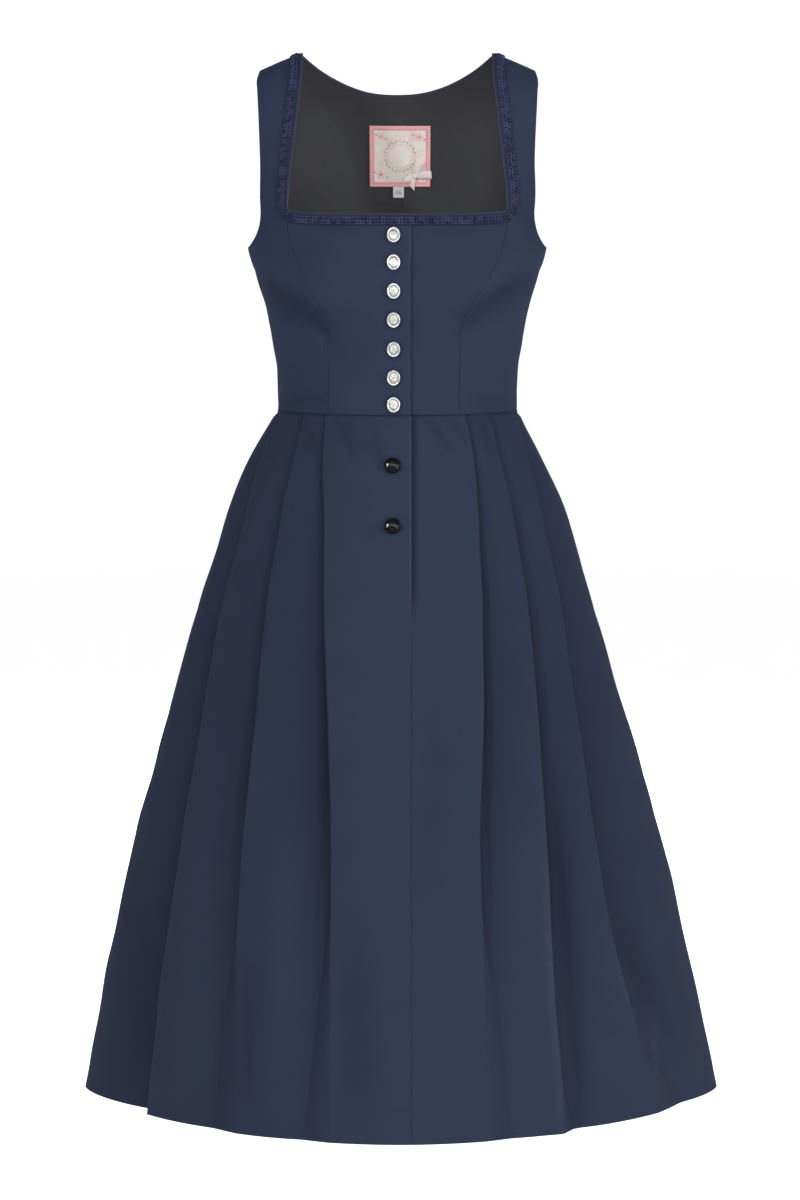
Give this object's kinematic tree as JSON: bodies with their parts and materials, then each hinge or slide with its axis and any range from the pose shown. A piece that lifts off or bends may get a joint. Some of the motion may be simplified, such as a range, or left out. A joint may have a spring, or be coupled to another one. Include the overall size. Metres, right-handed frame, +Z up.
{
  "type": "dirndl dress",
  "caption": "Sleeveless midi dirndl with a square braided neckline, a fitted buttoned bodice and a flared skirt in outward knife pleats, hollow as worn.",
  "frame": {"origin": "midway between the two shoulder straps, level with their neck ends, where the wearer's shoulders hold the dress", "axes": "+Z up along the wearer's body, -Y out of the front, +X to the wearer's left"},
  "size_m": [0.6452, 0.4794, 1.0466],
  "materials": {
    "navy_cloth": "matt navy cotton in a fine plain weave",
    "charcoal_lining": "smooth charcoal lining cloth",
    "blue_braid": "knotted royal blue braid",
    "silver_metal": "cast silver-coloured metal with a worked centre",
    "black_gloss": "glossy black",
    "woven_label": "woven label, pink border round a beige field",
    "pink_satin": "pale pink satin ribbon",
    "white_tag": "plain white woven tape"
  },
  "bodies": {
    "root": {"bodice_front_centre_right": "navy_cloth", "bodice_front_centre_left": "navy_cloth", "bodice_front_side_right": "navy_cloth", "bodice_front_side_left": "navy_cloth", "bodice_back_centre": "navy_cloth", "bodice_back_side_right": "navy_cloth", "bodice_back_side_left": "navy_cloth", "lining_back_centre": "charcoal_lining", "lining_back_side_right": "charcoal_lining", "lining_back_side_left": "charcoal_lining", "braid_right": "blue_braid", "braid_left": "blue_braid", "skirt_front_right": "navy_cloth", "skirt_front_left": "navy_cloth", "skirt_back_right": "navy_cloth", "skirt_back_left": "navy_cloth", "button_metal_1": "silver_metal", "button_metal_2": "silver_metal", "button_metal_3": "silver_metal", "button_metal_4": "silver_metal", "button_metal_5": "silver_metal", "button_metal_6": "silver_metal", "button_metal_7": "silver_metal", "button_black_1": "black_gloss", "button_black_2": "black_gloss", "neck_label": "woven_label", "label_bow": "pink_satin", "size_tag": "white_tag"}
  },
  "joints": []
}
